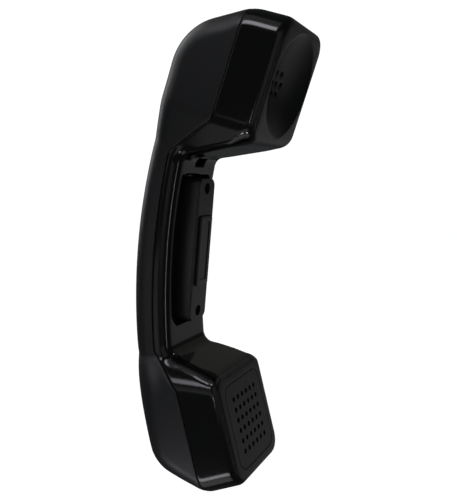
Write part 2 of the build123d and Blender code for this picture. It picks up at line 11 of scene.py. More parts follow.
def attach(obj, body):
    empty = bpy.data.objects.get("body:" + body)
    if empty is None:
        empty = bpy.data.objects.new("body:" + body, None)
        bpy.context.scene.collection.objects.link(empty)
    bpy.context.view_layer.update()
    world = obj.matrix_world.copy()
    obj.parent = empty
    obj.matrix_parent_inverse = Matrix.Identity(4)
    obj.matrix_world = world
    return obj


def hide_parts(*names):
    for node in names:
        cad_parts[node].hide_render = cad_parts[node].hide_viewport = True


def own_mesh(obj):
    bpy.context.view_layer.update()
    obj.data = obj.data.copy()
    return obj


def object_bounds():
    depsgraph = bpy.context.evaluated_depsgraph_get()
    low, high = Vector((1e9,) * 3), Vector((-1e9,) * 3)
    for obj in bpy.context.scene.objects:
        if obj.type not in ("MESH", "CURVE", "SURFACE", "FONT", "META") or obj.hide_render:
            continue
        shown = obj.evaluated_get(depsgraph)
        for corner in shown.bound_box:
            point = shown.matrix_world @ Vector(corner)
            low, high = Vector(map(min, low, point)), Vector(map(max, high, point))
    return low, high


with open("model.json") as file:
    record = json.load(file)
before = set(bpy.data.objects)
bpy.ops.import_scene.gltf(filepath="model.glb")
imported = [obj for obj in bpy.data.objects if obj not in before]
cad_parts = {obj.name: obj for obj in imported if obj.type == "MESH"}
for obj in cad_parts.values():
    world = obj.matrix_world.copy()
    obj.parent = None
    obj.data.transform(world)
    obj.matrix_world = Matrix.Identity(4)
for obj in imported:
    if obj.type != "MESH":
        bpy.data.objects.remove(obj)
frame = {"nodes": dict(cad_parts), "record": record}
cad_box = [list(corner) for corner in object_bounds()]

MM = 0.001

# Half widths and wall of the handset, in millimetres like every shape below
HEAD_W = 25.7
GRIP_W = 21.0
WALL = 1.7
SEAM_GAP = 0.22

# Placing of the two faces and of the push-to-talk block: (origin in XZ, tilt in degrees)
EAR = ((43.7, 31.6), 18.6)
MIC = ((25.2, -118.0), -14.3)
PTT = ((1.1, -40.8), 5.15)

# Half heights of the two faces, along their own slope
EAR_HALF = 25.9
MIC_HALF = 24.85


class FacePlane:
    """A tilted face across the handset: up runs along it and out is its normal, both in XZ."""

    def __init__(self, placed):
        origin, tilt = placed
        angle = math.radians(tilt)
        self.origin = np.array(origin, float)
        self.up = np.array((math.sin(angle), math.cos(angle)))
        self.out = np.array((math.cos(angle), -math.sin(angle)))

    def point(self, up, out=0.0):
        return self.origin + self.up * up + self.out * out

    def local(self, p):
        d = np.asarray(p, float) - self.origin
        return d @ self.up, d @ self.out

    def lift(self, y, up, out=0.0):
        x, z = self.point(up, out)
        return (x, y, z)


ear = FacePlane(EAR)
mic = FacePlane(MIC)
ptt = FacePlane(PTT)


# Side profile ----------------------------


def unit(vector):
    return vector / np.linalg.norm(vector)


def on_circle(vertex, radius, z):
    """The point at a height on an arc that stands upright at its vertex."""
    return np.array((vertex[0] + radius - math.sqrt(radius**2 - (z - vertex[1]) ** 2), z))


def circle_run(vertex, radius, z_from, z_to, step=1.2):
    """Points along such an arc between two heights."""
    count = max(2, int(abs(z_to - z_from) / step))
    return [on_circle(vertex, radius, z) for z in np.linspace(z_from, z_to, count + 1)]


def rounded_path(corners):
    """Points along a line through (point, radius) corners, each rounded by its radius."""
    points = [np.array(p, float) for p, _ in corners]
    path = [points[0]]
    for i in range(1, len(points) - 1):
        before, here, after = points[i - 1], points[i], points[i + 1]
        radius = corners[i][1]
        a, b = unit(before - here), unit(after - here)
        if not radius:
            path.append(here)
            continue
        half = 0.5 * math.acos(np.clip(a @ b, -1, 1))
        setback = radius / math.tan(half)
        start, end = here + a * setback, here + b * setback
        centre = here + unit(a + b) * radius / math.sin(half)
        turn = math.pi - 2 * half
        steps = max(6, int(math.degrees(turn) / 2), int(radius * turn / 0.4))
        for k in range(steps + 1):
            t = k / steps
            # Slerp between the two radii of the arc
            va, vb = start - centre, end - centre
            w = (math.sin((1 - t) * turn) * va + math.sin(t * turn) * vb) / math.sin(turn)
            path.append(centre + w)
    path.append(points[-1])
    return path


def run_length(path):
    """Distance along a polyline to each of its points."""
    return np.concatenate([[0], np.cumsum(np.linalg.norm(np.diff(path, axis=0), axis=1))])


def resample(path, step):
    """The same path with evenly spaced points."""
    path = np.array(path)
    length = run_length(path)
    fresh = np.concatenate([[True], np.diff(length) > 1e-6])
    path, length = path[fresh], length[fresh]
    every = np.linspace(0, length[-1], math.ceil(length[-1] / step) + 1)
    return np.stack([np.interp(every, length, path[:, axis]) for axis in (0, 1)], axis=1)


def tangents(path):
    """Unit directions along a polyline, whatever the spacing of its points."""
    along = np.gradient(path, run_length(path), axis=0)
    return along / np.linalg.norm(along, axis=1)[:, None]


# Long arcs in the side view: (point where the arc stands upright, radius)
BACK = ((-26.3, -66.0), 262.0)
INNER = ((-7.3, -66.0), 300.0)
SEAM = ((-14.2, -67.0), 278.0)

# Corners of the outer profile with their radii, and the ends of its arc down the back
EAR_CREST = ((34.0, 62.2), 20.0)
EAR_BACK = ((0.9, 57.6), 25.0)
CHIN = ((13.1, -149.0), 10.0)
BACK_TOP = 17.9
BACK_FOOT = -141.0
FOOT_RADIUS = 16.0

# Heights where the handle's inner arc meets the heads, and the radii there
EAR_NECK, EAR_NECK_RADIUS = 2.0, 5.0
MIC_NECK, MIC_NECK_RADIUS = -87.6, 6.0

# The seam's corners, above the ear head and below the mouth head too
SEAM_TOP = (34.9, 65.6)
SEAM_EAR_CORNER = (17.8, 17.1)
SEAM_MIC_CORNER = (0.2, -101.2)
SEAM_FOOT = (14.9, -155.5)

# The flares: how far up the ear face one starts, at what height the other does, and how fast
# each spreads
EAR_FLARE_UP, EAR_FLARE_SLOPE = -21.7, math.tan(math.radians(16))
MIC_FLARE_Z, MIC_FLARE_SLOPE = -88.6, 0.49

# Height between the ear half of the handset and the mouth half
MIDDLE_Z = -45.0

# Elliptical round between a face and the walls behind it: across the face and along the wall
RIM = 2.6
RIM_DEPTH = 4.0

OUTER_STEP = 1.0
INNER_STEP = 0.85
SEAM_STEP = 1.2

outer_path = resample(
    rounded_path(
        [(ear.point(EAR_HALF, -RIM_DEPTH), 0), EAR_CREST, EAR_BACK, (on_circle(*BACK, BACK_TOP), 0)]
    )
    + circle_run(*BACK, BACK_TOP - 0.9, BACK_FOOT + 12)
    + rounded_path(
        [(on_circle(*BACK, BACK_FOOT + 11), 0), (on_circle(*BACK, BACK_FOOT), FOOT_RADIUS), CHIN]
        + [(mic.point(-MIC_HALF, -RIM_DEPTH), 0)]
    ),
    OUTER_STEP,
)
ear_neck = on_circle(*INNER, EAR_NECK)
mic_neck = on_circle(*INNER, MIC_NECK)


def back_along(plane, up, neck, depth):
    """Where the line from a face's edge to the neck passes a depth behind the face."""
    edge = plane.point(up)
    run = unit(neck - edge)
    return edge + run * depth / -(run @ plane.out)


inner_path = resample(
    rounded_path(
        [(back_along(mic, MIC_HALF, mic_neck, RIM_DEPTH), 0), (mic_neck, MIC_NECK_RADIUS)]
        + [(on_circle(*INNER, MIC_NECK + 9.6), 0)]
    )
    + circle_run(*INNER, MIC_NECK + 10.6, EAR_NECK - 11)
    + rounded_path(
        [(on_circle(*INNER, EAR_NECK - 10), 0), (ear_neck, EAR_NECK_RADIUS)]
        + [(back_along(ear, -EAR_HALF, ear_neck, RIM_DEPTH), 0)]
    ),
    INNER_STEP,
)


def smooth(t):
    """0 below 0 and 1 above 1, with a smooth step between."""
    t = np.clip(t, 0, 1)
    return t * t * (3 - 2 * t)


def soft_min(a, b, width):
    """Minimum with a parabolic blend over the width where the two cross."""
    h = np.clip(0.5 + 0.5 * (b - a) / width, 0, 1)
    return b * (1 - h) + a * h - width * h * (1 - h)


def seam_x_low(z):
    """X of the seam's straight run beside the microphone, at a height."""
    (x0, z0), (x1, z1) = SEAM_MIC_CORNER, SEAM_FOOT
    return x0 + (z - z0) * (x1 - x0) / (z1 - z0)


def half_width(x, z):
    """Half width of the handset at points of its side view, flares included."""
    up = (x - ear.origin[0]) * ear.up[0] + (z - ear.origin[1]) * ear.up[1]
    ear_slope = HEAD_W - (EAR_FLARE_UP - up) * EAR_FLARE_SLOPE
    ear_side = soft_min(np.full_like(ear_slope, HEAD_W), ear_slope, 0.9)
    mic_slope = GRIP_W + (MIC_FLARE_Z - z) * MIC_FLARE_SLOPE
    behind = smooth((seam_x_low(z) - x - 1.0) / 9.0)
    mic_side = soft_min(np.full_like(mic_slope, HEAD_W), mic_slope, 1.45 + 3.5 * behind)
    grip = np.full_like(ear_side, GRIP_W)
    wide = np.where(z > MIDDLE_Z, ear_side, mic_side)
    return -soft_min(-wide, -grip, 0.3)


def half_width_at(x, z):
    """The same at one point, as a plain number."""
    return float(half_width(np.array([x]), np.array([z]))[0])


def back_radius(x, z):
    """Radius of the long rounded edge, larger at the heads than on the handle."""
    ear_head = smooth((z - 5) / 35)
    mic_head = smooth((-82 - z) / 25)
    bottom = smooth((x + 16) / 20) * (z < -120)
    return 8.0 + 1.5 * ear_head + 3.5 * mic_head - 2.5 * bottom


def inner_radius(x, z):
    """Radius of the handle's inner edges, tighter under the heads and wider at their faces."""
    ear_fade = smooth((x - 0.5) / 9.0) * (z > MIDDLE_Z)
    mic_fade = smooth((x + 5.5) / 8.0) * (z < MIDDLE_Z)
    ear_corner = smooth((x - 24.0) / 11.0) * (z > MIDDLE_Z)
    mic_corner = smooth((x - 8.0) / 11.0) * (z < MIDDLE_Z)
    return 5.5 - 2.4 * ear_fade - 1.6 * mic_fade + 4.4 * ear_corner + 2.3 * mic_corner


def inward(path):
    """Unit directions to the left of a path at each of its points, into the material."""
    along = tangents(path)
    return np.stack([-along[:, 1], along[:, 0]], axis=1)


# Seam ------------------------------------

seam_path = resample(
    rounded_path(
        [(SEAM_TOP, 0), (SEAM_EAR_CORNER, 2.0), (on_circle(*SEAM, 4.6), 3.0)]
        + [(on_circle(*SEAM, 0.0), 0)]
    )
    + circle_run(*SEAM, -1.0, -80.0)
    + rounded_path(
        [(on_circle(*SEAM, -81.0), 0), (on_circle(*SEAM, -86.0), 4.0), (SEAM_MIC_CORNER, 3.0)]
        + [(SEAM_FOOT, 0)]
    ),
    SEAM_STEP,
)


def crossing(path, line):
    """(index, point) where a path first crosses a line, both polylines, or None."""
    for i in range(len(path) - 1):
        p, r = path[i], path[i + 1] - path[i]
        for j in range(len(line) - 1):
            q, s = line[j], line[j + 1] - line[j]
            cross = r[0] * s[1] - r[1] * s[0]
            if abs(cross) < 1e-9:
                continue
            d = q - p
            t = (d[0] * s[1] - d[1] * s[0]) / cross
            u = (d[0] * r[1] - d[1] * r[0]) / cross
            if 0 <= t < 1 and 0 <= u < 1:
                return i, p + r * t
    return None


# Mesh building ---------------------------

ROUND_STEPS = 12


class Skin:
    """Collects vertices in millimetres and faces, and welds them into one mesh."""

    def __init__(self):
        self.verts = []
        self.faces = []

    def grid(self, rows):
        """Quads between rows of points; every row has the same number of points."""
        base = len(self.verts)
        width = len(rows[0])
        for row in rows:
            self.verts.extend(tuple(map(float, p)) for p in row)
        for i in range(len(rows) - 1):
            for j in range(width - 1):
                a = base + i * width + j
                self.faces.append((a, a + 1, a + width + 1, a + width))

    def closed_grid(self, rows):
        """Quads between closed rings of points."""
        self.grid([list(row) + [row[0]] for row in rows])

    def patch(self, outline, holes, lift, inner=(), lines=(), both=False):
        """Triangles over a flat outline with holes; lift places each flat point in space.

        Open lines and inner points give the triangles corners, and both adds a mirrored side.
        """
        points, edges = [], []
        for loop in (outline, *holes):
            start = len(points)
            points += [Vector(p) for p in loop]
            edges += [(start + i, start + (i + 1) % len(loop)) for i in range(len(loop))]
        for line in lines:
            start = len(points)
            points += [Vector(p) for p in line]
            edges += [(start + i, start + i + 1) for i in range(len(line) - 1)]
        points += [Vector(p) for p in inner]
        found, _, tris, _, _, _ = delaunay_2d_cdt(points, edges, [], 0, 1e-5)
        flat = np.array([tuple(v) for v in found])
        loops = [np.array(outline)] + [np.array(hole) for hole in holes]
        kept = []
        for tri in tris:
            centre = flat[list(tri)].mean(axis=0)
            sides = flat[list(tri[1:])] - flat[tri[0]]
            area = abs(sides[0, 0] * sides[1, 1] - sides[0, 1] * sides[1, 0])
            longest = max(np.linalg.norm(sides[0]), np.linalg.norm(sides[1]))
            if area < 1e-4 * longest:
                continue
            if inside(centre, loops[0]) and not any(inside(centre, h) for h in loops[1:]):
                kept.append(tri)
        for side in (1, -1) if both else (1,):
            base = len(self.verts)
            self.verts.extend(tuple(map(float, lift(p[0], p[1], side))) for p in flat)
            for tri in kept:
                order = tri[::-1] if side < 0 else tri
                self.faces.append(tuple(base + k for k in order))

    def mesh(self, name):
        mesh = bpy.data.meshes.new(name)
        mesh.from_pydata(self.verts, [], self.faces)
        bm = bmesh.new()
        bm.from_mesh(mesh)
        bmesh.ops.remove_doubles(bm, verts=bm.verts, dist=0.004)
        bmesh.ops.dissolve_degenerate(bm, dist=0.002, edges=bm.edges)
        open_edges = [e for e in bm.edges if e.is_boundary]
        bmesh.ops.holes_fill(bm, edges=open_edges, sides=8)
        bmesh.ops.recalc_face_normals(bm, faces=bm.faces)
        # Most of a surface faces away from a point in the handle
        middle = Vector((8.0, 0.0, -45.0))
        facing = [f.normal.dot(f.calc_center_median() - middle) * f.calc_area() for f in bm.faces]
        if sum(facing) < 0:
            bmesh.ops.reverse_faces(bm, faces=bm.faces)
        loose = [v for v in bm.verts if not v.link_faces]
        bmesh.ops.delete(bm, geom=loose, context="VERTS")
        bm.to_mesh(mesh)
        bm.free()
        shade_smooth(mesh)
        mesh.transform(Matrix.Scale(MM, 4))
        obj = bpy.data.objects.new(name, mesh)
        bpy.context.scene.collection.objects.link(obj)
        return obj


def shade_smooth(mesh):
    mesh.polygons.foreach_set("use_smooth", [True] * len(mesh.polygons))


def inside(point, loop):
    """True if a flat point lies inside a closed loop of points."""
    x, y = point
    a, b = loop, np.roll(loop, -1, axis=0)
    spans = (a[:, 1] > y) != (b[:, 1] > y)
    with np.errstate(divide="ignore", invalid="ignore"):
        at = (b[:, 0] - a[:, 0]) * (y - a[:, 1]) / (b[:, 1] - a[:, 1]) + a[:, 0]
    return bool(np.count_nonzero(spans & (x < at)) % 2)


def edge_rows(path, directions, radii):
    """Rows of (x, y, z) from the profile to the side wall, one for each angle of the rounding."""
    rows = []
    for k in range(ROUND_STEPS + 1):
        angle = 0.5 * math.pi * k / ROUND_STEPS
        shift = radii * (1 - math.cos(angle))
        at = path + directions * shift[:, None]
        y = half_width(at[:, 0], at[:, 1]) - radii * (1 - math.sin(angle))
        rows.append(np.stack([at[:, 0], y, at[:, 1]], axis=1))
    return rows


def mirrored(row):
    return [(p[0], -p[1], p[2]) for p in row]


def turn_towards(path, directions, index, target, reach=7.0):
    """Directions that swing to a target at one point of the path and fade back within a reach."""
    length = run_length(path)
    weight = smooth(1 - np.abs(length - length[index]) / reach)[:, None]
    mixed = directions * (1 - weight) + np.array(target) * weight
    return mixed / np.linalg.norm(mixed, axis=1)[:, None] * (
        1 + weight * (1 / abs(np.dot(target, directions[index])) - 1)
    )


def split_path(path, line, start=0):
    """A path with the first point past start where it crosses a line added, and its index."""
    i, point = crossing(path[start:], line)
    at = start + i + 1
    return np.vstack([path[:at], point, path[at:]]), at


# Distance of the line that keeps a hole's rounded rim from shading the surface around it
SUPPORT = 0.25
# Points across the straight part of a section: along its ends, and inside it
COLUMNS = 9
MIDDLE_COLUMNS = 23
MIDDLE_CLEAR = 0.9
RIM_STEPS = 9
SEAM_ROUND = 0.42
# Lines beside the seam that carry its rounding
SEAM_LINES = (0.1, 0.25, 0.5, 1.2)
# Steps between the points inside a side wall, on the flats and in the bends, and inside a face
WALL_STEP = 2.2
BEND_STEP = 0.85
FACE_STEP = 4.0
# Where the flares bend: heights by the mouth face, and distances up the ear face
MIC_BEND = (-107.0, -83.0)
EAR_BEND, EAR_BEND_X = (-28.0, -16.0), -25.0


def offset_line(line, amount):
    """A polyline moved sideways, to its left as it runs for a positive amount."""
    along = tangents(line)
    return line + np.stack([-along[:, 1], along[:, 0]], axis=1) * amount


def stations(path, indices, spacing=(0.1, 0.25, 0.5)):
    """A path with extra points close to the given ones, and where those now are."""
    length = run_length(path)
    marks = [length[i] for i in indices]
    extra = [m + side * s for m in marks for s in spacing for side in (-1, 1)]
    extra = [e for e in extra if 0 < e < length[-1]]
    keep = [v for v in length if min(abs(v - m) for m in marks) > 0.75 or v in marks]
    every = np.unique(np.round(np.array(keep + extra), 6))
    out = np.stack([np.interp(every, length, path[:, axis]) for axis in (0, 1)], axis=1)
    return out, [int(np.argmin(np.abs(every - m))) for m in marks]


def row_columns(half):
    """Y of the straight part of a section, from one side to the other."""
    return np.linspace(half, -half, COLUMNS)


def band_edges(skin, rows):
    """The rounded edges on both sides of a band of the profile."""
    stack = [list(points) for points in zip(*rows)]
    skin.grid([station[::-1] for station in stack])
    skin.grid([mirrored(station) for station in stack])


def band_middle(skin, path, half, holes=()):
    """The straight middle of a band, cut by holes given as (outline, line around it, finder)."""
    length = run_length(path)

    def lift(s, y, _):
        return (np.interp(s, length, path[:, 0]), y, np.interp(s, length, path[:, 1]))

    first = [(length[0], y) for y in row_columns(half[0])]
    last = [(length[-1], y) for y in row_columns(half[-1])]
    low = [(s, -h) for s, h in zip(length[1:-1], half[1:-1])]
    high = [(s, h) for s, h in zip(length[1:-1], half[1:-1])]
    outline = first + low + last[::-1] + high[::-1]
    flat_holes = []
    around = []
    for hole, margin, key in holes:
        values = np.array([key(p) for p in path])
        order = np.argsort(values)
        for loop, kept in ((hole, flat_holes), (margin + margin[:1], around)):
            kept.append([(np.interp(q, values[order], length[order]), y) for y, q in loop])
    inner = []
    holes_at = np.array([p for hole in flat_holes for p in hole])
    for i in range(2, len(path) - 2, 2):
        reach = half[i] - MIDDLE_CLEAR
        for y in np.linspace(-reach, reach, MIDDLE_COLUMNS):
            if gap_to((length[i], y), holes_at) > MIDDLE_CLEAR:
                inner.append((length[i], y))
    skin.patch(outline, flat_holes, lift, inner, around)
    return [[lift(s, y, 1) for s, y in hole] for hole in flat_holes]


def rounded_rect(half_y, half_u, radius, centre=(0.0, 0.0), arc=8, runs=(12, 12)):
    """Closed outline of a rounded rectangle as (y, up) points, with a fixed number of points."""
    flat_y, flat_u = half_y - radius, half_u - radius
    arcs = []
    for quarter, (sy, su) in enumerate(((1, 1), (-1, 1), (-1, -1), (1, -1))):
        turns = [math.radians(90 * (quarter + k / arc)) for k in range(arc + 1)]
        bend = [(radius * math.cos(a), radius * math.sin(a)) for a in turns]
        arcs.append([(sy * flat_y + y, su * flat_u + u) for y, u in bend])
    out = []
    for corner, bend in enumerate(arcs):
        (y0, u0), (y1, u1) = bend[-1], arcs[(corner + 1) % 4][0]
        count = runs[corner % 2]
        shares = [k / count for k in range(1, count)]
        out += bend + [(y0 + (y1 - y0) * t, u0 + (u1 - u0) * t) for t in shares]
    return [(y + centre[0], u + centre[1]) for y, u in out]


def circle(radius, count, centre=(0.0, 0.0)):
    """Evenly spaced points of a circle."""
    turn = [2 * math.pi * k / count for k in range(count)]
    return [(centre[0] + radius * math.cos(a), centre[1] + radius * math.sin(a)) for a in turn]


def side_walls(skin, outline, seam_line):
    """Both side walls of a shell: a flat outline in the side view, lifted to the half width."""
    lines = []
    for depth in SEAM_LINES:
        line = offset_line(seam_line, depth)
        lines.append([tuple(p) for p in line if inside(p, outline) and gap_to(p, outline) > 0.07])
    inner = wall_points(outline.min(axis=0), outline.max(axis=0))
    clear = (gap_to(inner, outline) > 0.6) & (gap_to(inner, seam_line) > 1.7)
    skin.patch(
        [tuple(p) for p in outline],
        [],
        lambda x, z, side: (x, side * half_width_at(x, z), z),
        [tuple(p) for p in inner[clear] if inside(p, outline)],
        lines,
        both=True,
    )


def wall_points(low, high):
    """Staggered points over a side wall, closer together where the flares bend."""
    points = []
    for fine, step in ((False, WALL_STEP), (True, BEND_STEP)):
        for row, z in enumerate(np.arange(low[1], high[1], step * 0.87)):
            for x in np.arange(low[0] + row % 2 * step / 2, high[0], step):
                up = ear.local((x, z))[0]
                by_mic = MIC_BEND[0] < z < MIC_BEND[1]
                by_ear = EAR_BEND[0] < up < EAR_BEND[1] and x > EAR_BEND_X
                if (by_mic or by_ear) == fine:
                    points.append((x, z))
    return np.array(points)


def gap_to(points, line):
    """Distance from a point, or from each of several, to the nearest point of a line."""
    apart = np.asarray(points)[..., None, :] - np.asarray(line)
    return np.min(np.linalg.norm(apart, axis=-1), axis=-1)


def seam_gap_to(points, line):
    """Distance in the side view from each point to a polyline."""
    a, b = line[:-1], line[1:]
    best = np.full(len(points), 1e9)
    for p0, p1 in zip(a, b):
        d = p1 - p0
        t = np.clip(((points - p0) @ d) / (d @ d), 0, 1)
        best = np.minimum(best, np.linalg.norm(points - (p0 + t[:, None] * d), axis=1))
    return best


def round_seam(obj, line, radius=SEAM_ROUND):
    """Draws the edge at the seam inwards, as a small round."""
    mesh = obj.data
    co, normal = (np.empty((len(mesh.vertices), 3)) for _ in range(2))
    for name, values in (("co", co), ("normal", normal)):
        mesh.vertices.foreach_get(name, values.ravel())
    gap = seam_gap_to(co[:, [0, 2]] / MM, line)
    inset = np.clip(radius - gap, 0, radius)
    drop = radius - np.sqrt(radius**2 - inset**2)
    co -= normal * (drop * MM)[:, None]
    mesh.vertices.foreach_set("co", co.ravel())


def face_cap(skin, plane, loop, holes, lines=()):
    """A face's rounded rim and flat, from a closed loop of (y, xz point, tangent) behind it."""
    starts = np.array([(p[0], y, p[1]) for y, p, _ in loop])
    sharp = []
    turns = []
    for y, p, tangent in loop:
        depth = -plane.local(p)[1]
        reach = p + tangent * depth / (tangent @ plane.out)
        sharp.append((y, plane.local(reach)[0]))
        turns.append(math.acos(np.clip(tangent @ plane.out, -1, 1)))
    sharp = np.array(sharp)
    onwards = np.roll(sharp, -1, axis=0) - sharp
    onwards /= np.linalg.norm(onwards, axis=1)[:, None] + 1e-9
    for _ in range(3):
        onwards = onwards + np.roll(onwards, 1, axis=0)
        onwards = np.roll(onwards, -1, axis=0) + onwards
        onwards /= np.linalg.norm(onwards, axis=1)[:, None]
    along = onwards + np.roll(onwards, 1, axis=0)
    along /= np.linalg.norm(along, axis=1)[:, None]
    normal = np.stack([-along[:, 1], along[:, 0]], axis=1)
    centre = sharp.mean(axis=0)
    if np.sum((centre - sharp) * normal) < 0:
        normal = -normal
    ends = sharp + normal * RIM
    rings = []
    for k in range(RIM_STEPS + 1):
        t = k / RIM_STEPS
        ring = []
        for a, s, e, turn in zip(starts, sharp, ends, turns):
            weight = math.cos((math.pi / 2 - turn) / 2)
            s3 = np.array(plane.lift(s[0], s[1]))
            e3 = np.array(plane.lift(e[0], e[1]))
            parts = ((1 - t) ** 2, 2 * weight * t * (1 - t), t**2)
            ring.append((a * parts[0] + s3 * parts[1] + e3 * parts[2]) / sum(parts))
        rings.append(ring)
    skin.closed_grid(rings)
    inner = []
    low, high = ends.min(axis=0), ends.max(axis=0)
    for y in np.arange(low[0], high[0], FACE_STEP):
        for u in np.arange(low[1], high[1], FACE_STEP):
            p = np.array((y, u))
            loops = [ends] + [np.array(h) for h in holes]
            clear = min(gap_to(p, line) for line in loops) > 1.0
            if clear and inside(p, ends) and not any(inside(p, h) for h in loops[1:]):
                inner.append((y, u))
    outline = [tuple(p) for p in ends]
    skin.patch(outline, holes, lambda y, u, _: plane.lift(y, u), inner, lines)


def face_loop(plane, high, low, top_tangent, low_tangent):
    """Closed loop behind a face, from the end sections of the bands above and below it.

    A section is (ring of (x, y, z) from the middle outwards to the side wall, half of the middle).
    """

    def run(section, tangent):
        """From the middle of a section to its side wall, turning towards the face."""
        ring, middle = section
        found = [(y, ring[0, [0, 2]], tangent) for y in row_columns(middle)[COLUMNS // 2 :: -1]]
        for share, p in zip(np.linspace(0, 1, len(ring))[1:], ring[1:]):
            found.append((p[1], p[[0, 2]], unit(tangent * (1 - share) + plane.out * share)))
        return found

    top, bottom = run(high, top_tangent), run(low, low_tangent)
    between = side_line(top[-1][1], bottom[-1][1])[1:-1]
    half = top + [(half_width_at(*p), p, plane.out) for p in between] + bottom[::-1]
    other = [(-y, p, t) for y, p, t in half[1:-1]]
    return half + other[::-1]


def side_line(a, b, step=1.6):
    """Points from one end of a face's side edge to the other."""
    count = math.ceil(np.linalg.norm(b - a) / step)
    return [a + (b - a) * k / count for k in range(count + 1)]


# Shells ----------------------------------

DISH_RADIUS = 22.75
DISH_DEPTH = 7.0
DISH_SPHERE = (DISH_RADIUS**2 + DISH_DEPTH**2) / (2 * DISH_DEPTH)
DISH_RIM = 0.6
# Radius inside which the dish's floor is a patch with the sound holes in it
DISH_FLOOR = 7.6
EAR_PITCH = 5.08
EAR_HOLE = 1.0
GRILLE_Y, GRILLE_U, GRILLE_R = 19.55, 19.05, 5.5
GRILLE_RIM = 0.45
GRILLE_DEPTH = 1.85
LEDGE_Y, LEDGE_U = 17.3, 16.8
POCKET_Y, POCKET_V, POCKET_R = 14.0, 35.0, 4.0
POCKET_RIM = 0.5
POCKET_FLOOR = -10.8
FLOOR_ROUND = 0.8
SLOT_Y, SLOT_Z = 4.7, 1.8
SLOT_RIM = 0.3
JACK_X, JACK_HALF_X, JACK_HALF_Y = 1.5, 4.55, 5.05
JACK_RIM = 0.25
OPENING_CORNER = 0.6
# Walls of the small openings: how far each ring grows past the outline, and how deep it lies
HOLE_WALL = ((0.2, 0.0), (0.06, 0.06), (0.0, 0.2), (0.0, 1.6), (0.0, 3.2))
SLOT_WALL = ((0.09, 0.09), (0.0, 0.3), (0.0, 2.0), (0.0, 4.0))
JACK_WALL = ((0.07, 0.07), (0.0, 0.25), (0.0, 2.0))
# Heights of the handle's inside between the heads, and of the mouth head's underside
HANDLE_LOW, HANDLE_HIGH = -84.0, -0.5
UNDERSIDE_Z = -138.0
# Clear length along the seam between its end points and the next one
SEAM_CLEAR = 0.4
DISH_SIDES = 96
HOLE_SIDES = 20


def dish_height(r):
    """Height of the dish below the ear face, as a negative number."""
    return DISH_SPHERE - DISH_DEPTH - math.sqrt(DISH_SPHERE**2 - r * r)


def add_dish(skin):
    """Ear dish with a rounded lip, and seven sound holes in its middle."""
    rows = []
    # Lip: an arc from the face down to the dish's own slope
    slope = math.atan2(DISH_RADIUS, DISH_SPHERE - DISH_DEPTH)
    for k in range(6):
        angle = slope * k / 5
        r = DISH_RADIUS + DISH_RIM * (math.tan(slope / 2) - math.sin(angle))
        n = -DISH_RIM * (1 - math.cos(angle))
        rows.append((r, n))
    last = rows[-1]
    for r in np.linspace(last[0], DISH_FLOOR, 16)[1:]:
        rows.append((r, min(dish_height(r), last[1] - 0.01)))
    skin.closed_grid([[ear.lift(y, u, n) for y, u in circle(r, DISH_SIDES)] for r, n in rows])
    centres = [(0.0, 0.0)] + circle(EAR_PITCH, 6)
    outer = circle(DISH_FLOOR, DISH_SIDES)
    holes = [circle(EAR_HOLE + HOLE_WALL[0][0], HOLE_SIDES, c) for c in centres]
    inner = [p for r, n in ((2.6, 12), (7.0, 30)) for p in circle(r, n)]
    inner = [p for p in inner if all(gap_to(p, h) > 0.5 for h in holes)]
    skin.patch(outer, holes, lambda y, u, _: ear.lift(y, u, dish_height(math.hypot(y, u))), inner)
    for c in centres:
        rings = []
        for grow, drop in HOLE_WALL:
            ring = circle(EAR_HOLE + grow, HOLE_SIDES, c)
            rings.append([ear.lift(y, u, dish_height(math.hypot(y, u)) - drop) for y, u in ring])
        skin.closed_grid(rings)
    return circle(rows[0][0], DISH_SIDES)


def quarter_round(radius, steps):
    """(reach out, drop) of the points of a rounded rim, from its outside to the wall below."""
    angles = [math.pi / 2 * k / steps for k in range(steps + 1)]
    return [(radius * (1 - math.sin(a)), radius * (1 - math.cos(a))) for a in angles]


def grille_outline(grow):
    return rounded_rect(GRILLE_Y + grow, GRILLE_U + grow, GRILLE_R + grow)


def slot_outline(grow):
    corner = OPENING_CORNER + grow
    return rounded_rect(SLOT_Y + grow, SLOT_Z + grow, corner, arc=4, runs=(10, 4))


def jack_outline(grow):
    """The socket's opening as (y, x) points."""
    corner = OPENING_CORNER + grow
    return rounded_rect(JACK_HALF_Y + grow, JACK_HALF_X + grow, corner, (0, JACK_X), 4, (8, 8))


def add_recess(skin):
    """Recess that takes the grille, with a ledge at its bottom."""
    rings = []
    for grow, drop in quarter_round(GRILLE_RIM, 4):
        rings.append([mic.lift(y, u, -drop) for y, u in grille_outline(grow)])
    outline = grille_outline(0.0)
    for depth in (GRILLE_DEPTH / 2, GRILLE_DEPTH):
        rings.append([mic.lift(y, u, -depth) for y, u in outline])
    ledge = [(y * LEDGE_Y / GRILLE_Y, u * LEDGE_U / GRILLE_U) for y, u in outline]
    rings.append([mic.lift(y, u, -GRILLE_DEPTH) for y, u in ledge])
    skin.closed_grid(rings)
    return grille_outline(GRILLE_RIM)


def pocket_outline(grow):
    return rounded_rect(POCKET_Y + grow, POCKET_V + grow, POCKET_R + grow, runs=(12, 36))


